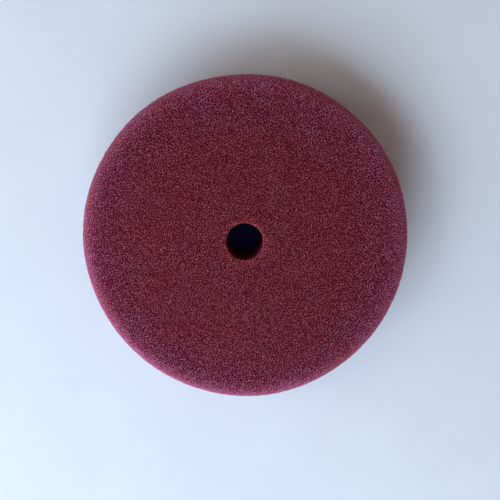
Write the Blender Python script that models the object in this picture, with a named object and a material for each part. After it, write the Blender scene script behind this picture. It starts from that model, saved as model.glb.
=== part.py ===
"""A foam polishing pad: an open-cell foam disc laminated to a hook-and-loop backing.

The pad lies on its loop side with its working face up. The origin is the centre of the loop side,
+Z is the pad's axis of rotation, and lengths are in metres.
"""

import math

import bpy

# Foam disc
PAD_DIAMETER = 0.150
PAD_THICKNESS = 0.030
WORKING_EDGE_WIDTH = 0.007
WORKING_EDGE_HEIGHT = 0.0035
SIDE_TAPER = math.radians(11)
BACK_EDGE_RADIUS = 0.0012
CENTRE_HOLE_DIAMETER = 0.0165
HOLE_EDGE_RADIUS = 0.0006

# Layers under the foam, from the bottom up
PILE_HEIGHT = 0.0013
CLOTH_THICKNESS = 0.0008
FILM_THICKNESS = 0.0004
LAYER_GAP = 0.0003
BACKING_DIAMETER = 0.137
FILM_INSET = 0.0015
CUT_EDGE_RADIUS = 0.0002

# Fineness of the turned shapes
SIDES = 72
ARC_STEPS = 6
SMALL_ARC_STEPS = 2
MERGE_DISTANCE = 0.00005

# Heights of the layers
CLOTH_BOTTOM = PILE_HEIGHT + LAYER_GAP
CLOTH_TOP = CLOTH_BOTTOM + CLOTH_THICKNESS
FILM_BOTTOM = CLOTH_TOP + LAYER_GAP
FILM_TOP = FILM_BOTTOM + FILM_THICKNESS
FOAM_BOTTOM = FILM_TOP + LAYER_GAP

# Colours
MAROON = (0.16, 0.022, 0.045)
NAVY = (0.012, 0.015, 0.060)
DARK_NAVY = (0.010, 0.012, 0.032)
AMBER = (0.30, 0.20, 0.09)


def remove_all_objects():
    for obj in list(bpy.data.objects):
        bpy.data.objects.remove(obj, do_unlink=True)


def material(name, colour, roughness):
    """A non-metallic Principled material."""
    mat = bpy.data.materials.new(name)
    mat.use_nodes = True
    shader = mat.node_tree.nodes["Principled BSDF"]
    shader.inputs["Base Color"].default_value = (*colour, 1.0)
    shader.inputs["Roughness"].default_value = roughness
    shader.inputs["Metallic"].default_value = 0.0
    mat.diffuse_color = (*colour, 1.0)
    return mat


def arc(centre_radius, centre_height, width, height, start, end, steps):
    """Points of (radius, height) on an arc of an ellipse. Angles are in radians, anticlockwise from +X."""
    angles = [start + (end - start) * i / steps for i in range(steps + 1)]
    return [
        (centre_radius + width * math.cos(a), centre_height + height * math.sin(a))
        for a in angles
    ]


def turned(name, profile, closed, mat):
    """Spin a profile of (radius, height) points about Z into one closed solid.

    A closed profile makes a ring. An open one starts and ends on the axis and makes a disc.
    """
    count = len(profile)
    edges = [(i, i + 1) for i in range(count - 1)]
    if closed:
        edges.append((count - 1, 0))
    mesh = bpy.data.meshes.new(name)
    mesh.from_pydata([(r, 0.0, z) for r, z in profile], edges, [])
    mesh.materials.append(mat)

    obj = bpy.data.objects.new(name, mesh)
    bpy.context.collection.objects.link(obj)

    turn = obj.modifiers.new("turn", "SCREW")
    turn.steps = SIDES
    turn.render_steps = SIDES
    turn.use_merge_vertices = True
    turn.merge_threshold = MERGE_DISTANCE
    turn.use_smooth_shade = True
    return obj


def side_wall_radius(height):
    """The radius of the foam's tapered side wall at a height, from its widest ring down."""
    widest = PAD_THICKNESS - WORKING_EDGE_HEIGHT
    return PAD_DIAMETER / 2 - (widest - height) * math.tan(SIDE_TAPER)


def foam_disc():
    """The foam body, as a ring: a working edge that curves over, a tapered side, and the centre hole."""
    mat = material("maroon_foam", MAROON, 0.95)
    outer = PAD_DIAMETER / 2
    hole = CENTRE_HOLE_DIAMETER / 2
    back = side_wall_radius(FOAM_BOTTOM)
    working_edge = arc(
        outer - WORKING_EDGE_WIDTH,
        PAD_THICKNESS - WORKING_EDGE_HEIGHT,
        WORKING_EDGE_WIDTH,
        WORKING_EDGE_HEIGHT,
        math.pi / 2,
        0.0,
        ARC_STEPS,
    )
    back_edge = arc(
        back - BACK_EDGE_RADIUS,
        FOAM_BOTTOM + BACK_EDGE_RADIUS,
        BACK_EDGE_RADIUS,
        BACK_EDGE_RADIUS,
        0.0,
        -math.pi / 2,
        SMALL_ARC_STEPS,
    )
    hole_wall = [(hole, FOAM_BOTTOM)]
    hole_edge = arc(
        hole + HOLE_EDGE_RADIUS,
        PAD_THICKNESS - HOLE_EDGE_RADIUS,
        HOLE_EDGE_RADIUS,
        HOLE_EDGE_RADIUS,
        math.pi,
        math.pi / 2,
        SMALL_ARC_STEPS,
    )
    return turned("foam_disc", working_edge + back_edge + hole_wall + hole_edge, True, mat)


def adhesive_film():
    """The film that bonds foam to cloth. The centre hole is cut through it too."""
    mat = material("hot_melt_film", AMBER, 0.45)
    outer = BACKING_DIAMETER / 2 - FILM_INSET
    hole = CENTRE_HOLE_DIAMETER / 2
    profile = [(hole, FILM_TOP), (outer, FILM_TOP), (outer, FILM_BOTTOM), (hole, FILM_BOTTOM)]
    return turned("adhesive_film", profile, True, mat)


def cut_disc_profile(radius, bottom, top):
    """A disc's half section, from the top of its axis round its rim to the bottom of its axis."""
    inset = radius - CUT_EDGE_RADIUS
    edge = CUT_EDGE_RADIUS
    top_edge = arc(inset, top - edge, edge, edge, math.pi / 2, 0.0, SMALL_ARC_STEPS)
    low_edge = arc(inset, bottom + edge, edge, edge, 0.0, -math.pi / 2, SMALL_ARC_STEPS)
    return [(0.0, top)] + top_edge + low_edge + [(0.0, bottom)]


def backing_cloth():
    """The ground cloth of the hook-and-loop backing. It closes the bottom of the centre hole."""
    mat = material("backing_cloth", NAVY, 0.9)
    profile = cut_disc_profile(BACKING_DIAMETER / 2, CLOTH_BOTTOM, CLOTH_TOP)
    return turned("backing_cloth", profile, False, mat)


def loop_pile():
    """The layer of raised loops that a hook-faced backing plate grips."""
    mat = material("loop_pile", DARK_NAVY, 0.95)
    profile = cut_disc_profile(BACKING_DIAMETER / 2, 0.0, PILE_HEIGHT)
    return turned("loop_pile", profile, False, mat)


remove_all_objects()
foam_disc()
adhesive_film()
backing_cloth()
loop_pile()
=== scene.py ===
"""Looks of the foam polishing pad: cut foam, glue film, knitted backing and its loops, on pale paper.

Lengths are in metres and colours are linear RGB.
"""

import math

import bpy
import numpy as np
from mathutils import Matrix, Vector
from mathutils.geometry import delaunay_2d_cdt
from mathutils.kdtree import KDTree


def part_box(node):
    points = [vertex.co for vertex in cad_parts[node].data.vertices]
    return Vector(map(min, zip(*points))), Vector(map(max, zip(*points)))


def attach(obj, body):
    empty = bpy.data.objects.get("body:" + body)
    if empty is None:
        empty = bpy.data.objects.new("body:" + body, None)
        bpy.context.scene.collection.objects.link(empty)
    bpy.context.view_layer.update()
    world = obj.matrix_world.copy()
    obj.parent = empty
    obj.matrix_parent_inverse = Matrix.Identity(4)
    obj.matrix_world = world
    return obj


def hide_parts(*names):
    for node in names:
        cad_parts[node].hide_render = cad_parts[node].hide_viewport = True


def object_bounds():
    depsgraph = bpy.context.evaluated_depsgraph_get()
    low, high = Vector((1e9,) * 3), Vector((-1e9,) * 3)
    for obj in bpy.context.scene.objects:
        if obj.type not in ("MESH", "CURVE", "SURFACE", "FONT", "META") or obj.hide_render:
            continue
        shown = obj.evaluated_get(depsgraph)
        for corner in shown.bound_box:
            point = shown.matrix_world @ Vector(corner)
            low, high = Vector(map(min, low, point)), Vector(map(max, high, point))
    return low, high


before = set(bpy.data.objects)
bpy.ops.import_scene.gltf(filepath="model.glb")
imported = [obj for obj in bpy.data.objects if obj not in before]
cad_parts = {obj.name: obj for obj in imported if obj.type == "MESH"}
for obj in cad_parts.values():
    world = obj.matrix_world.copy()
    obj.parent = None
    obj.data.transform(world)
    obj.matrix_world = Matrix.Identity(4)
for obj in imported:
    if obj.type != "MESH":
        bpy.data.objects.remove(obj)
cad_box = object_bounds()

TURN = 2 * math.pi
WHITE = (1.0, 1.0, 1.0)

# Camera: its distance from the centre of the working face and its tilt from the pad's axis
CAMERA_DISTANCE = 0.320
CAMERA_TILT = math.radians(9.9)
CAMERA_AIM = (0.0024, -0.0039)
CAMERA_LENS = 50.48
SENSOR_WIDTH = 36.0
CLIP_START = 0.01

# Soft lights: azimuth and elevation in degrees, distance, width, height, power and colour
LIGHTS = {
    "window": (237, 38, 1.1, 1.2, 0.95, 18.2, (0.610, 0.780, 1.0)),
    "side_window": (176, 36, 1.1, 0.6, 0.70, 4.0, (0.72, 0.79, 0.85)),
    "overhead": (0, 90, 1.2, 0.4, 0.4, 0.6, (0.40, 0.50, 1.0)),
}

# The room lights the pad, and the backdrop is what the camera sees past the paper.
ROOM_COLOUR = (0.190, 0.142, 0.104)
BACKDROP_COLOUR = (0.62, 0.70, 0.78)

# A noise is given by its scale and its detail, and a bump by its distance and its strength.
# These pairs of noise values make the two ends of a blend. The nearer they are, the harder its contrast.
SOFT_NOISE = (0.30, 0.70)
CLOUDY_NOISE = (0.35, 0.65)
HARD_NOISE = (0.38, 0.62)

# Paper
PAPER_RADIUS = 1.3
PAPER_SIDES = 180
PAPER_SHADES = ((0.80, 0.82, 0.84), (0.84, 0.86, 0.88))
PAPER_CLOUDS = (18.0, 3.0)
PAPER_GRAIN = (700.0, 4.0)
PAPER_BUMP = (0.00004, 0.5)
PAPER_SHADER = {"Roughness": 0.9, "Specular IOR Level": 0.1}

# Within this of a height or a radius a point counts as on it.
LEVEL = 0.00002

# The foam's turned profile. The underside is skinned with cells this far in from its edge.
PROFILE_STEP = 0.0001
EDGE_STEPS = 16
SMALL_EDGE_STEPS = 6
UNDERSIDE = 0.005
BORE_EASE = 0.0002

# Scattered places. Those round the two ends of a surface are END_SPACING times as far apart.
CANDIDATES_PER_PLACE = 14
END_SPACING = 1.1

# Joining places up: radians of overlap, and the distance and the area that count as nothing
OVERLAP = 1.2
SAME_PLACE = 1e-9
FLAT_TRIANGLE = 1e-12

# Open cells of the foam
CELL_SPACING = 0.00098
PIT_DEPTH = (0.00020, 0.00036)
STRUT_RISE = 0.00008
FOAM_SEED = 7

# How the cut foam strays from a true disc. Waves go from the fewest to the most swells round the pad.
WAVINESS = 0.00015
WAVES = (2, 9)
OFF_CENTRE = (0.00045, -0.00040)
OUT_OF_ROUND = 0.00028

# Foam colours, each at its level. The pore colour is painted shade in the pits, and the strut colour is the
# foam's lighter struts with a painted glint on them.
SHADED_PORE = (0.10, (0.030, 0.0001, 0.0002))
BODY = (0.45, (0.104, 0.0010, 0.0012))
STRUT_AND_GLINT = (1.0, (0.420, 0.134, 0.125))

# What a point's level is made of. Each speck has its own random brightness, which stands for a painted glint
# off the struts, and a painted shade in its middle for a hollow, which fades out between two distances, in
# sizes of a speck. The pits of the mesh are darkened with painted shade too.
BASE_LEVEL = 0.44
SPECK_SCALE = 3400.0
SPECK_SHARPNESS = 3.0
SPECK_GLINT = 0.72
TONE_LIGHT = 0.04
PIT_SHADE = 0.53
HOLLOW_SHADE = 0.12
HOLLOW_REACH = (0.1, 0.6)

# At the rim the levels are blended towards this one.
RIM_LEVEL = 0.55
RIM_BLUR = 0.90
RIM_BLUR_POWER = 0.5

# Tints of the foam, all painted light: a painted sheen towards the outer part, a painted sheen and glow at
# the rim, a painted glow round the lip of the centre hole and painted shade down its bore. Reach is a share
# of the outer radius, and drop is depth under the working face.
# Each tint grows from the first of a pair of reaches or drops to the second.
FOAM_CLOUDS = (60.0, 2.0)
CLOUD_TINTS = ((1.00, 0.92, 0.84), (1.01, 1.09, 1.18))
OUTER_PAINTED_SHEEN = (1.07, 1.30, 2.00)
OUTER_REACH = (0.62, 0.92)
RIM_PAINTED_GLOW = (2.3, 4.1, 4.4)
RIM_REACH = (0.86, 1.0)
RIM_DROP = (0.009, 0.003)
LIP_PAINTED_GLOW = (1.5, 1.6, 1.45)
LIP_WIDTH = 0.0036
LIP_DROP = 0.0012
BORE_PAINTED_SHADE = (0.25, 0.15, 0.15)
BORE_RADIUS = 0.0095
BORE_TOP = 0.0004
BORE_DROP = (0.0, 0.002)

# The foam's finish: its roughness goes from the first value to the second between two levels.
ROUGHNESS_LEVELS = (0.2, 0.9)
FOAM_ROUGHNESS = (1.0, 0.40)
FOAM_BUMP = (0.00012, 0.6)
FOAM_SHADER = {
    "Subsurface Weight": 0.9,
    "Subsurface Radius": (1.0, 0.55, 0.65),
    "Subsurface Scale": 0.0050,
    "Specular IOR Level": 0.75,
    "Specular Tint": (1.0, 0.13, 0.44, 1.0),
    "Sheen Weight": 0.08,
    "Sheen Roughness": 0.5,
    "Sheen Tint": (1.0, 0.30, 0.46, 1.0),
}

# Glue film between foam and cloth. The rim and the bulge are a mean and a waviness, times the bleed.
# The soak is a share of the bleed, and the shoulder a share of the film's thickness.
GLUE_BLEED = 0.00035
GLUE_RIM = (1.6, 0.5)
GLUE_RIM_WAVES = (3, 60)
GLUE_BULGE = (0.5, 0.25)
GLUE_BULGE_WAVES = (5, 90)
GLUE_SOAK = 0.3
GLUE_SHOULDER = 0.2
GLUE_STEPS = 720
GLUE_SEED = 11
GLUE_SHADES = ((0.22, 0.125, 0.045), (0.42, 0.27, 0.12))
GLUE_CLOUDS = (900.0, 3.0)
GLUE_ROUGHNESS = (0.28, 0.50)
GLUE_BUMP = (0.00008, 0.5)
GLUE_SHADER = {
    "Subsurface Weight": 0.3,
    "Subsurface Radius": (1.0, 0.5, 0.2),
    "Subsurface Scale": 0.0006,
}

# Knitted ground cloth
WALE = 0.00132
COURSE = 0.00150
STITCH_SLANT = 0.22
STITCH_DIP = 0.35
KNIT_RELIEF = 0.00009
CLOTH_EDGE = 0.00012
CLOTH_SHADES = ((0.014, 0.016, 0.085), (0.030, 0.036, 0.180))
CLOTH_GRAIN = 1600.0

# Points to a wale and to a course, below and in the window that the centre hole opens on the cloth
UNDER_FINENESS = (4, 3)
WINDOW_FINENESS = (6, 6)
WINDOW_OVERLAP = 0.001
LATTICE_MARGIN = 0.6
RIM_STRETCH = 1.4

# The cloth's cut edge, from below: shares of its thickness and of how far the edge stands out
CUT_EDGE = ((0.25, 1.0), (0.75, 1.0), (1.0, 0.0))

# Loops of the pile. The drop is a share of the room that they have under the cloth.
LOOP_SPACING = 0.00145
LOOP_WIDTH = (0.0013, 0.0021)
LOOP_DROP = (0.72, 1.0)
LOOP_LEAN = 0.00045
LOOP_NECK = 0.75
LOOP_BELLY = 0.45
LOOP_BLUNTNESS = 0.8
LOOP_SEGMENTS = 6
YARN_RADIUS = 0.00016
YARN_SIDES = 3
PILE_SEED = 5
PILE_SHADES = ((0.014, 0.017, 0.044), (0.060, 0.070, 0.165))
PILE_GRAIN = 2500.0

# Both yarns. Painted shade: the cloth's underside among the loops and its cut edge have their colour
# multiplied by this darkening; the cloth in the centre hole and the loops keep their full colour.
PAINTED_CLOTH_SHADE = (0.28, 0.27, 0.17)
FIBRE_DETAIL = 4.0
FIBRE_ROUGHNESS = 0.65
FIBRE_SHARE = 0.75
YARN_PATCHES = (120.0, 2.0)
YARN_ROUGHNESS = (0.70, 0.95)
YARN_BUMP = (0.00005, 0.6)
YARN_SHADER = {
    "Specular IOR Level": 0.3,
    "Sheen Weight": 0.35,
    "Sheen Roughness": 0.35,
    "Sheen Tint": (0.55, 0.62, 1.0, 1.0),
}


def node_points(name):
    """A CAD node's vertices as an array of points."""
    return np.array([v.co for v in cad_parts[name].data.vertices])


def radii(points):
    return np.hypot(points[:, 0], points[:, 1])


def share(values, start, end):
    """How far values have come from start to end, from 0 to 1."""
    return np.clip((values - start) / (end - start), 0, 1)


def even_angles(count):
    return np.arange(count) * TURN / count


def on_circle(radius, angle, height):
    """Points at angles round the axis. The radius and the height are numbers or arrays."""
    across, along = radius * np.cos(angle), radius * np.sin(angle)
    return np.stack(np.broadcast_arrays(across, along, height), axis=1)


# ---------------------------------------------------------------- turned profiles


def arc(centre, width, height, start, end, steps):
    """Points of (radius, height) along an arc of an ellipse, without its first point."""
    angles = np.linspace(math.radians(start), math.radians(end), steps + 1)[1:]
    return [(centre[0] + width * math.cos(a), centre[1] + height * math.sin(a)) for a in angles]


class Turned:
    """A surface of revolution, given by a profile of (radius, height) points.

    It is read by u, the conformal length along the profile, and by the angle round the axis.
    """

    def __init__(self, profile):
        corners = np.array(profile)
        lengths = np.hypot(*np.diff(corners, axis=0).T)
        along = np.concatenate([[0.0], np.cumsum(lengths)])
        self.s = np.linspace(0.0, along[-1], int(along[-1] / PROFILE_STEP) + 2)
        self.r = np.interp(self.s, along, corners[:, 0])
        self.z = np.interp(self.s, along, corners[:, 1])
        slope_r = np.gradient(self.r, self.s)
        slope_z = np.gradient(self.z, self.s)
        size = np.hypot(slope_r, slope_z)
        self.normal_r = -slope_z / size
        self.normal_z = slope_r / size
        middle = (self.r[1:] + self.r[:-1]) / 2
        self.u = np.concatenate([[0.0], np.cumsum(np.diff(self.s) / middle)])

    def points(self, u, angle):
        return on_circle(np.interp(u, self.u, self.r), angle, np.interp(u, self.u, self.z))

    def normals(self, u, angle):
        n = on_circle(np.interp(u, self.u, self.normal_r), angle, np.interp(u, self.u, self.normal_z))
        return n / np.linalg.norm(n, axis=1)[:, None]

    def ring(self, at_end, spacing):
        """Evenly spaced (u, angle) places round one end of the surface."""
        u = self.u[-1] if at_end else self.u[0]
        r = self.r[-1] if at_end else self.r[0]
        count = int(round(TURN * r / spacing))
        return np.stack([np.full(count, u), even_angles(count)], axis=1)

    def strips(self):
        """The area of each step of the profile, for one radian."""
        return np.diff(self.s) * (self.r[1:] + self.r[:-1]) / 2

    def scattered(self, count, rng):
        """Random (u, angle) places, even over the area."""
        weight = np.concatenate([[0.0], np.cumsum(self.strips())])
        s = np.interp(rng.random(count) * weight[-1], weight, self.s)
        return np.stack([np.interp(s, self.s, self.u), rng.random(count) * TURN], axis=1)

    def area(self):
        return TURN * float(np.sum(self.strips()))


def spaced_sites(surface, spacing, rng):
    """Random places at least spacing apart, with the two end rings first, and the size of each ring."""
    first = surface.ring(False, spacing * END_SPACING)
    last = surface.ring(True, spacing * END_SPACING)
    count = int(surface.area() / spacing**2 * CANDIDATES_PER_PLACE)
    places = np.concatenate([first, last, surface.scattered(count, rng)])
    points = surface.points(places[:, 0], places[:, 1])
    tree = KDTree(len(points))
    for i, p in enumerate(points):
        tree.insert(p, i)
    tree.balance()
    rings = len(first) + len(last)
    alive = np.ones(len(points), bool)
    kept = []
    for i, p in enumerate(points):
        if not alive[i]:
            continue
        kept.append(i)
        for _, j, _ in tree.find_range(p, spacing):
            if j > i and j >= rings:
                alive[j] = False
    return places[kept], len(first), len(last)


def triangulated(places):
    """Delaunay triangles between (u, angle) places, on a strip that closes round the axis."""
    count = len(places)
    before = np.flatnonzero(places[:, 1] > TURN - OVERLAP)
    after = np.flatnonzero(places[:, 1] < OVERLAP)
    owner = np.concatenate([np.arange(count), before, after])
    flat = np.concatenate([places, places[before] - [0, TURN], places[after] + [0, TURN]])
    out = delaunay_2d_cdt([Vector(p) for p in flat], [], [], 0, SAME_PLACE)
    origin = np.array([o[0] for o in out[3]])
    flat = np.array(out[0])
    tris = np.array([f for f in out[2] if len(f) == 3])
    middle = flat[tris].mean(axis=1)
    inside = (middle[:, 1] >= 0) & (middle[:, 1] < TURN)
    edge_a, edge_b = flat[tris[:, 1]] - flat[tris[:, 0]], flat[tris[:, 2]] - flat[tris[:, 0]]
    size = edge_a[:, 0] * edge_b[:, 1] - edge_a[:, 1] * edge_b[:, 0]
    tris = np.where((size > 0)[:, None], tris, tris[:, ::-1])
    inside &= np.abs(size) > FLAT_TRIANGLE
    return owner[origin[tris[inside]]], middle[inside]


def cells(tris):
    """The faces of a skin of cells, one round each site, with a corner in the middle of each triangle.

    Sites keep their numbers, and the corner of triangle t is numbered -1 - t.
    """
    count = len(tris)
    start = np.concatenate([tris[:, 0], tris[:, 1], tris[:, 2]])
    end = np.concatenate([tris[:, 1], tris[:, 2], tris[:, 0]])
    side = np.tile(np.arange(count), 3)
    one_way = {(a, b): t for a, b, t in zip(start.tolist(), end.tolist(), side.tolist())}
    faces = []
    for (a, b), t in one_way.items():
        other = one_way.get((b, a))
        if other is None:
            faces.append((a, b, -1 - t))
        elif a < b:
            faces.append((a, -1 - other, -1 - t))
            faces.append((b, -1 - t, -1 - other))
    return faces


def zipped(inner, outer, points):
    """Triangles that face up, between two rings of vertex numbers that are each in order of angle."""
    def angles(ring):
        p = points[ring]
        return np.unwrap(np.arctan2(p[:, 1], p[:, 0]))

    a, b = angles(inner), angles(outer)
    a, b = np.append(a, a[0] + TURN), np.append(b, b[0] + TURN)
    i = j = 0
    faces = []
    while i < len(inner) or j < len(outer):
        take_inner = j >= len(outer) or (i < len(inner) and a[i + 1] <= b[j + 1])
        p, q = inner[i % len(inner)], outer[j % len(outer)]
        if take_inner:
            faces.append((p, q, inner[(i + 1) % len(inner)]))
            i += 1
        else:
            faces.append((p, q, outer[(j + 1) % len(outer)]))
            j += 1
    return faces


def wave(angle, rng, swells):
    """A smooth random wave round the axis, of size about 1, with swells from one number to another."""
    total = np.zeros_like(angle)
    for k in range(swells[0], swells[1] + 1):
        total += rng.normal() * np.cos(k * angle + rng.random() * TURN) / math.sqrt(k)
    return total


def add_object(name, data):
    """A new object in the scene."""
    obj = bpy.data.objects.new(name, data)
    bpy.context.scene.collection.objects.link(obj)
    return obj


def mesh_object(name, points, faces, material):
    mesh = bpy.data.meshes.new(name)
    mesh.from_pydata(points, [], faces)
    mesh.materials.append(material)
    mesh.shade_smooth()
    return add_object(name, mesh)


def set_attribute(obj, name, values):
    layer = obj.data.attributes.new(name, "FLOAT", "POINT")
    layer.data.foreach_set("value", np.asarray(values, np.float32))


# ---------------------------------------------------------------- materials


class Nodes:
    """Short names for making a material's node tree."""

    def __init__(self, name):
        self.material = bpy.data.materials.new(name)
        self.material.use_nodes = True
        self.tree = self.material.node_tree
        self.shader = self.tree.nodes["Principled BSDF"]

    def add(self, kind, **settings):
        node = self.tree.nodes.new(kind)
        for key, value in settings.items():
            setattr(node, key, value)
        return node

    def link(self, source, target):
        self.tree.links.new(source, target)

    def place(self):
        return self.add("ShaderNodeTexCoord").outputs["Object"]

    def attribute(self, name):
        return self.add("ShaderNodeAttribute", attribute_name=name).outputs["Fac"]

    def noise(self, scale, detail, roughness=0.5):
        node = self.add("ShaderNodeTexNoise")
        node.inputs["Scale"].default_value = scale
        node.inputs["Detail"].default_value = detail
        node.inputs["Roughness"].default_value = roughness
        self.link(self.place(), node.inputs["Vector"])
        return node.outputs["Fac"]

    def specks(self, scale):
        """Random values, one for each grain of a voronoi pattern, and the distance from its middle."""
        node = self.add("ShaderNodeTexVoronoi")
        node.inputs["Scale"].default_value = scale
        self.link(self.place(), node.inputs["Vector"])
        split = self.add("ShaderNodeSeparateColor")
        self.link(node.outputs["Color"], split.inputs[0])
        return split.outputs[0], node.outputs["Distance"]

    def ramp(self, value, stops):
        node = self.add("ShaderNodeValToRGB")
        for element, (position, colour) in zip(node.color_ramp.elements, (stops[0], stops[-1])):
            element.position = position
            element.color = (*colour, 1.0)
        for position, colour in stops[1:-1]:
            node.color_ramp.elements.new(position).color = (*colour, 1.0)
        self.link(value, node.inputs[0])
        return node.outputs[0]

    def mapped(self, value, span, result=(0.0, 1.0)):
        """A value stretched from one span of numbers to another."""
        node = self.add("ShaderNodeMapRange")
        self.link(value, node.inputs["Value"])
        for key, number in zip(("From Min", "From Max", "To Min", "To Max"), (*span, *result)):
            node.inputs[key].default_value = number
        return node.outputs["Result"]

    def maths(self, operation, a, b):
        node = self.add("ShaderNodeMath", operation=operation)
        for socket, value in zip(node.inputs, (a, b)):
            if isinstance(value, (int, float)):
                socket.default_value = value
            else:
                self.link(value, socket)
        return node.outputs["Value"]

    def total(self, a, weight_a, b, weight_b):
        """Two values, each times its weight, added up."""
        return self.maths("ADD", self.maths("MULTIPLY", a, weight_a), self.maths("MULTIPLY", b, weight_b))

    def mix(self, factor, a, b, blend="MIX"):
        node = self.add("ShaderNodeMix", data_type="RGBA", blend_type=blend)
        for socket, value in zip((node.inputs[0], node.inputs[6], node.inputs[7]), (factor, a, b)):
            if isinstance(value, (int, float)):
                socket.default_value = value
            elif isinstance(value, tuple):
                socket.default_value = (*value, 1.0)
            else:
                self.link(value, socket)
        return node.outputs[2]

    def tinted(self, colour, amount, start, end):
        """A colour times a tint that goes from start to end with an amount."""
        return self.mix(1.0, colour, self.mix(amount, start, end), "MULTIPLY")

    def bump(self, height, distance, strength):
        node = self.add("ShaderNodeBump")
        node.inputs["Strength"].default_value = strength
        node.inputs["Distance"].default_value = distance
        self.link(height, node.inputs["Height"])
        self.link(node.outputs["Normal"], self.shader.inputs["Normal"])

    def colour(self, socket):
        self.link(socket, self.shader.inputs["Base Color"])

    def roughness(self, socket):
        self.link(socket, self.shader.inputs["Roughness"])

    def constants(self, values):
        """Values that are the same all over, set on the shader's own sockets."""
        for name, value in values.items():
            self.shader.inputs[name].default_value = value


def foam_material():
    """Cut foam: pits darkened with painted shade, light struts with bright specks of painted glint, softer at
    the rim, and pinker there with painted sheen and glow.
    """
    n = Nodes("cut_foam")
    speck, from_middle = n.specks(SPECK_SCALE)
    hollow = n.mapped(from_middle, HOLLOW_REACH, (1.0, 0.0))
    # The bright specks are painted glints, and the pits and the middles of the specks take painted shade.
    glint = n.maths("POWER", speck, SPECK_SHARPNESS)
    light = n.total(glint, SPECK_GLINT, n.attribute("tone"), TONE_LIGHT)
    shade = n.total(n.attribute("pit"), PIT_SHADE, hollow, HOLLOW_SHADE)
    level = n.maths("SUBTRACT", n.maths("ADD", light, BASE_LEVEL), shade)
    blur = n.maths("MULTIPLY", n.maths("POWER", n.attribute("rim"), RIM_BLUR_POWER), RIM_BLUR)
    level = n.mix(blur, level, (RIM_LEVEL,) * 3)
    cut = n.ramp(level, (SHADED_PORE, BODY, STRUT_AND_GLINT))
    cut = n.tinted(cut, n.mapped(n.noise(*FOAM_CLOUDS), CLOUDY_NOISE), *CLOUD_TINTS)
    # Painted light: sheen towards the outer part, sheen and glow at the rim, glow round the hole's lip and
    # shade down the bore.
    for name, tint in (("outer", OUTER_PAINTED_SHEEN), ("rim", RIM_PAINTED_GLOW), ("lip", LIP_PAINTED_GLOW), ("bore", BORE_PAINTED_SHADE)):
        cut = n.tinted(cut, n.attribute(name), WHITE, tint)
    n.colour(cut)
    n.roughness(n.mapped(level, ROUGHNESS_LEVELS, FOAM_ROUGHNESS))
    n.bump(level, *FOAM_BUMP)
    n.constants(FOAM_SHADER)
    return n.material


def glue_material():
    """Cloudy amber glue. Its lighter clouds are rougher."""
    n = Nodes("hot_melt_glue")
    cloud = n.noise(*GLUE_CLOUDS)
    n.colour(n.mix(n.mapped(cloud, CLOUDY_NOISE), *GLUE_SHADES))
    n.roughness(n.mapped(cloud, SOFT_NOISE, GLUE_ROUGHNESS))
    n.bump(cloud, *GLUE_BUMP)
    n.constants(GLUE_SHADER)
    return n.material


def yarn_material(name, dark, light, grain):
    """Matt yarn with a fine grain of fibres and broad patches."""
    n = Nodes(name)
    fibre = n.noise(grain, FIBRE_DETAIL, FIBRE_ROUGHNESS)
    blend = n.total(fibre, FIBRE_SHARE, n.noise(*YARN_PATCHES), 1 - FIBRE_SHARE)
    yarn = n.mix(n.mapped(blend, HARD_NOISE), dark, light)
    # Painted shade: the colour is darkened where the mask is 0, on the cloth's underside and cut edge.
    n.colour(n.tinted(yarn, n.attribute("unshaded"), PAINTED_CLOTH_SHADE, WHITE))
    n.roughness(n.mapped(fibre, SOFT_NOISE, YARN_ROUGHNESS))
    n.bump(fibre, *YARN_BUMP)
    n.constants(YARN_SHADER)
    return n.material


def paper_material():
    n = Nodes("pale_paper")
    n.colour(n.mix(n.mapped(n.noise(*PAPER_CLOUDS), SOFT_NOISE), *PAPER_SHADES))
    n.bump(n.noise(*PAPER_GRAIN), *PAPER_BUMP)
    n.constants(PAPER_SHADER)
    return n.material


# ---------------------------------------------------------------- the foam


def foam_profile():
    """The foam's outside, from the foot of the hole over the working face to under its back edge."""
    points = node_points("foam_disc")
    low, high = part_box("foam_disc")
    distance = radii(points)
    widest, hole = distance.max(), distance.min() + BORE_EASE
    face = distance[points[:, 2] > high.z - LEVEL]
    back = distance[points[:, 2] < low.z + LEVEL].max()
    edge_width = widest - face.max()
    hole_edge = face.min() - hole
    wall_top = points[np.abs(distance - widest) < LEVEL, 2].min()
    edge_height = high.z - wall_top
    above_back = points[(distance > back + LEVEL) & (points[:, 2] < wall_top - LEVEL)]
    wall_foot = above_back[np.argmax(above_back[:, 2])]
    back_edge = wall_foot[2] - low.z
    hole_centre = (hole + hole_edge, high.z - hole_edge)
    edge_centre = (widest - edge_width, wall_top)
    back_centre = (back, low.z + back_edge)
    profile = [(hole, low.z)]
    profile.append((hole, high.z - hole_edge))
    profile += arc(hole_centre, hole_edge, hole_edge, 180, 90, SMALL_EDGE_STEPS)
    profile.append((widest - edge_width, high.z))
    profile += arc(edge_centre, edge_width, edge_height, 90, 0, EDGE_STEPS)
    profile.append((back + back_edge, low.z + back_edge))
    profile += arc(back_centre, back_edge, back_edge, 0, -90, SMALL_EDGE_STEPS)
    profile.append((back - UNDERSIDE, low.z))
    return profile


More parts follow.
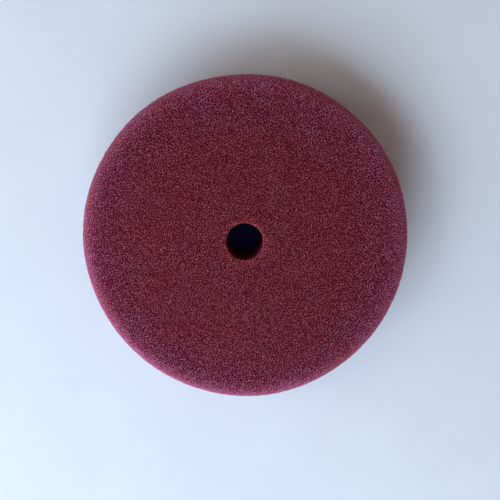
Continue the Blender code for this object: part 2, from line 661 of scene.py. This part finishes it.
def foam_disc():
    """The foam body: a skin of cells, each a pit with raised struts round it, closed flat underneath."""
    rng = np.random.default_rng(FOAM_SEED)
    surface = Turned(foam_profile())
    places, first, last = spaced_sites(surface, CELL_SPACING, rng)
    tris, middle = triangulated(places)
    count = len(places)
    u = np.concatenate([places[:, 0], middle[:, 0]])
    angle = np.concatenate([places[:, 1], middle[:, 1]])
    points = surface.points(u, angle)
    depth = rng.uniform(*PIT_DEPTH, count)
    depth[: first + last] = 0.0
    rise = np.abs(rng.normal(0.0, STRUT_RISE, len(middle)))
    lift = np.concatenate([-depth, rise])
    points += surface.normals(u, angle) * lift[:, None]
    reach = radii(points) / radii(points).max()
    out = WAVINESS * wave(angle, rng, WAVES) - OUT_OF_ROUND * np.cos(2 * angle)
    out += OFF_CENTRE[0] * np.cos(angle) + OFF_CENTRE[1] * np.sin(angle)
    points[:, :2] *= (1 + reach * out / radii(points).max())[:, None]
    faces = [tuple(v if v >= 0 else count - 1 - v for v in f) for f in cells(tris)]
    inner = np.arange(first)
    outer = np.arange(first, first + last)
    faces += [f[::-1] for f in zipped(inner, outer, points)]
    foam = mesh_object("foam", points, faces, foam_material())
    set_attribute(foam, "pit", np.concatenate([np.ones(count), np.zeros(len(middle))]))
    set_attribute(foam, "tone", rng.random(len(points)))
    set_painted_light_masks(foam, points, reach, surface.r.min())
    return foam


def set_painted_light_masks(foam, points, reach, hole):
    """How much of each tint, painted sheen, glow or shade, the points of the foam take."""
    distance = radii(points)
    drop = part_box("foam_disc")[1].z - points[:, 2]
    set_attribute(foam, "rim", share(reach, *RIM_REACH) ** 2 * share(drop, *RIM_DROP))
    set_attribute(foam, "outer", share(reach, *OUTER_REACH))
    set_attribute(foam, "lip", share(distance - hole, LIP_WIDTH, 0.0) * (drop < LIP_DROP))
    in_bore = (distance < BORE_RADIUS) & (drop > BORE_TOP)
    set_attribute(foam, "bore", in_bore * share(drop, *BORE_DROP))


# ---------------------------------------------------------------- the layers under the foam


def glue_film():
    """A film of hot-melt glue that fills the gap between foam and cloth, squeezed out unevenly at its rim."""
    rng = np.random.default_rng(GLUE_SEED)
    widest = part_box("adhesive_film")[1].x
    cloth_top, foam_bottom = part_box("backing_cloth")[1].z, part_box("foam_disc")[0].z
    bore = radii(node_points("adhesive_film")).min() + GLUE_BLEED
    angle = even_angles(GLUE_STEPS)
    rim = widest + GLUE_BLEED * (GLUE_RIM[0] + GLUE_RIM[1] * wave(angle, rng, GLUE_RIM_WAVES))
    bulge = GLUE_BLEED * (GLUE_BULGE[0] + GLUE_BULGE[1] * wave(angle, rng, GLUE_BULGE_WAVES))
    top, bottom = foam_bottom + GLUE_SOAK * GLUE_BLEED, cloth_top - GLUE_SOAK * GLUE_BLEED
    middle, shoulder = (top + bottom) / 2, GLUE_SHOULDER * (top - bottom)
    rings = [
        (bore, top),
        (rim - bulge, top),
        (rim, middle + shoulder),
        (rim, middle - shoulder),
        (rim - bulge, bottom),
        (bore, bottom),
    ]
    points = [on_circle(r, angle, z) for r, z in rings]
    faces = []
    for ring in range(len(rings)):
        here, there = ring * GLUE_STEPS, (ring + 1) % len(rings) * GLUE_STEPS
        for i in range(GLUE_STEPS):
            j = (i + 1) % GLUE_STEPS
            faces.append((here + i, there + i, there + j, here + j))
    return mesh_object("glue_film", np.concatenate(points), faces, glue_material())


def knit(x, y):
    """The relief of a knitted face: wales of stacked stitches, from 0 in the grooves to 1 on the yarn."""
    slant = WALE * STITCH_SLANT * (np.abs((y / COURSE) % 2 - 1) - 0.5)
    across = np.cos(math.pi * ((x + slant) / WALE)) ** 2
    along = 1 - STITCH_DIP + STITCH_DIP * np.cos(TURN * y / COURSE)
    return across * along


def disc_lattice(radius, fineness):
    """Points of a lattice inside a circle, with the circle's own points last, and the number of those."""
    step_x, step_y = WALE / fineness[0], COURSE / fineness[1]
    nx, ny = int(radius / step_x) + 1, int(radius / step_y) + 1
    x, y = np.meshgrid(np.arange(-nx, nx + 1) * step_x, np.arange(-ny, ny + 1) * step_y)
    inside = np.hypot(x, y) < radius - step_x * LATTICE_MARGIN
    count = int(TURN * radius / step_x / RIM_STRETCH)
    rim = on_circle(radius, even_angles(count), 0.0)[:, :2]
    return np.concatenate([np.stack([x[inside], y[inside]], axis=1), rim]), count


def flat_faces(flat, facing_down):
    """Delaunay triangles between flat points, all facing one way."""
    out = delaunay_2d_cdt([Vector(p) for p in flat], [], [], 0, SAME_PLACE)
    faces = []
    for a, b, c in (f for f in out[2] if len(f) == 3):
        p, q, r = flat[a], flat[b], flat[c]
        turn = (q[0] - p[0]) * (r[1] - p[1]) - (q[1] - p[1]) * (r[0] - p[0])
        faces.append((a, b, c) if (turn > 0) != facing_down else (a, c, b))
    return faces


def backing_cloth():
    """The knitted ground cloth: a fine relief below, and above it only where the centre hole shows it."""
    low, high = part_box("backing_cloth")
    radius = high.x - CLOTH_EDGE
    hole = radii(node_points("foam_disc")).min()
    under, rim = disc_lattice(radius, UNDER_FINENESS)
    window, window_rim = disc_lattice(hole + WINDOW_OVERLAP, WINDOW_FINENESS)
    bottom = np.column_stack([under, low.z - KNIT_RELIEF * knit(*under.T)])
    top = np.column_stack([window, high.z + KNIT_RELIEF * (knit(*window.T) - 1)])
    top[-window_rim:, 2] = high.z - KNIT_RELIEF
    bottom[-rim:, 2] = low.z
    bands = [
        on_circle(radius + CLOTH_EDGE * out, even_angles(rim), low.z + (high.z - low.z) * height)
        for height, out in CUT_EDGE
    ]
    points = np.concatenate([bottom, *bands, top])
    faces = flat_faces(under, True)
    above = len(bottom) + len(bands) * rim
    faces += [tuple(v + above for v in f) for f in flat_faces(window, False)]
    starts = [len(bottom) - rim + k * rim for k in range(len(bands) + 1)]
    for here, there in zip(starts, starts[1:]):
        for i in range(rim):
            j = (i + 1) % rim
            faces.append((here + i, here + j, there + j, there + i))
    inner = np.arange(len(points) - window_rim, len(points))
    outer = np.arange(starts[-1], starts[-1] + rim)
    faces += zipped(inner, outer, points)
    cloth = yarn_material("navy_knit", *CLOTH_SHADES, CLOTH_GRAIN)
    backing = mesh_object("knitted_backing", points, faces, cloth)
    # Painted shade on the underside and the cut edge; only the cloth in the centre hole keeps its full
    # colour.
    set_attribute(backing, "unshaded", np.arange(len(points)) >= above)
    return backing


def loop_paths(low, high, cloth):
    """The middle line of each loop as an array of points, and the direction square to each loop's plane."""
    rng = np.random.default_rng(PILE_SEED)
    disc = Turned([(LOOP_SPACING / 2, 0.0), (high.x - LOOP_WIDTH[0] / 2, 0.0)])
    places, _, _ = spaced_sites(disc, LOOP_SPACING, rng)
    feet = disc.points(places[:, 0], places[:, 1])
    count = len(feet)
    width = rng.uniform(*LOOP_WIDTH, count)
    drop = (cloth - low.z) * rng.uniform(*LOOP_DROP, count)
    lean = rng.uniform(-LOOP_LEAN, LOOP_LEAN, (count, 2))
    heading = rng.random(count) * TURN
    sway = on_circle(1.0, heading, 0.0)
    side = np.cross((0.0, 0.0, 1.0), sway)
    turn = np.linspace(0.0, math.pi, LOOP_SEGMENTS + 1)
    spread = np.cos(turn) * (LOOP_NECK + LOOP_BELLY * np.sin(turn))
    fall = np.sin(turn) ** LOOP_BLUNTNESS
    path = feet[:, None, :] + sway[:, None, :] * (width[:, None] / 2 * spread)[:, :, None]
    path += side[:, None, :] * (lean[:, :1] * fall)[:, :, None]
    path += sway[:, None, :] * (lean[:, 1:] * fall)[:, :, None]
    path[:, :, 2] = cloth + YARN_RADIUS - drop[:, None] * fall
    return path, side


def tube_faces():
    """The faces of one loop's tube of yarn, with its two ends last."""
    faces = []
    for i in range(LOOP_SEGMENTS):
        for k in range(YARN_SIDES):
            p, q = i * YARN_SIDES + k, i * YARN_SIDES + (k + 1) % YARN_SIDES
            faces.append((p, q, q + YARN_SIDES, p + YARN_SIDES))
    last = LOOP_SEGMENTS * YARN_SIDES
    return faces + [tuple(range(YARN_SIDES))[::-1], tuple(last + k for k in range(YARN_SIDES))]


def loop_pile():
    """Thousands of small yarn loops that hang from the ground cloth."""
    low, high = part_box("loop_pile")
    path, side = loop_paths(low, high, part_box("backing_cloth")[0].z)
    tangent = np.gradient(path, axis=1)
    tangent /= np.linalg.norm(tangent, axis=2)[:, :, None]
    across = np.cross(tangent, side[:, None, :])
    across /= np.linalg.norm(across, axis=2)[:, :, None]
    other = np.cross(tangent, across)
    rings = []
    for k in range(YARN_SIDES):
        a = TURN * k / YARN_SIDES
        rings.append(path + YARN_RADIUS * (math.cos(a) * across + math.sin(a) * other))
    points = np.stack(rings, axis=2)
    points[..., 2] = np.maximum(points[..., 2], low.z)
    points = points.reshape(-1, 3)
    pattern = tube_faces()
    faces = []
    for start in range(0, len(points), (LOOP_SEGMENTS + 1) * YARN_SIDES):
        faces += [tuple(v + start for v in f) for f in pattern]
    pile = yarn_material("pile_yarn", *PILE_SHADES, PILE_GRAIN)
    pile_loops = mesh_object("yarn_loops", points, faces, pile)
    set_attribute(pile_loops, "unshaded", np.ones(len(points)))
    return pile_loops


# ---------------------------------------------------------------- camera, light and paper


def make_camera():
    face = cad_box[1].z
    aim = Vector((*CAMERA_AIM, face))
    back, rise = CAMERA_DISTANCE * math.sin(CAMERA_TILT), CAMERA_DISTANCE * math.cos(CAMERA_TILT)
    place = Vector((0.0, back, face + rise))
    data = bpy.data.cameras.new("camera")
    data.lens = CAMERA_LENS
    data.sensor_width = SENSOR_WIDTH
    data.clip_start = CLIP_START
    camera = add_object("camera", data)
    forward = (aim - place).normalized()
    right = forward.cross(Vector((0.0, 1.0, 0.0))).normalized()
    up = right.cross(forward)
    camera.matrix_world = Matrix((right, up, -forward)).transposed().to_4x4()
    camera.location = place
    bpy.context.scene.camera = camera


def make_lights():
    for name, (azimuth, elevation, distance, width, height, power, colour) in LIGHTS.items():
        data = bpy.data.lights.new(name, "AREA")
        data.shape = "RECTANGLE"
        data.size, data.size_y = width, height
        data.energy = power
        data.color = colour
        light = add_object(name, data)
        around, up = math.radians(azimuth), math.radians(elevation)
        flat = distance * math.cos(up)
        light.location = (flat * math.cos(around), flat * math.sin(around), distance * math.sin(up))
        light.rotation_euler = (-light.location).to_track_quat("-Z", "Y").to_euler()


def make_room():
    """A dim warm room that lights the pad, and a pale backdrop that only the camera sees."""
    world = bpy.data.worlds.new("room")
    world.use_nodes = True
    tree = world.node_tree
    seen = tree.nodes.new("ShaderNodeLightPath")
    mix = tree.nodes.new("ShaderNodeMix")
    mix.data_type = "RGBA"
    mix.inputs[6].default_value = (*ROOM_COLOUR, 1.0)
    mix.inputs[7].default_value = (*BACKDROP_COLOUR, 1.0)
    tree.links.new(seen.outputs["Is Camera Ray"], mix.inputs[0])
    tree.links.new(mix.outputs[2], tree.nodes["Background"].inputs["Color"])
    bpy.context.scene.world = world


def make_paper():
    mesh = bpy.data.meshes.new("paper")
    corners = on_circle(PAPER_RADIUS, even_angles(PAPER_SIDES), 0.0)
    mesh.from_pydata(corners, [], [tuple(range(PAPER_SIDES))])
    mesh.materials.append(paper_material())
    paper = add_object("paper", mesh)
    paper.location.z = cad_box[0].z


bpy.context.scene.view_settings.view_transform = "Standard"
make_camera()
make_lights()
make_room()
make_paper()

foam, glue, cloth, loops = foam_disc(), glue_film(), backing_cloth(), loop_pile()
for piece, node, slot in (
    (foam, "foam_disc", "foam"),
    (glue, "adhesive_film", "adhesive"),
    (cloth, "backing_cloth", "cloth"),
    (loops, "loop_pile", "pile"),
):
    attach(piece, "root")
    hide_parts(node)
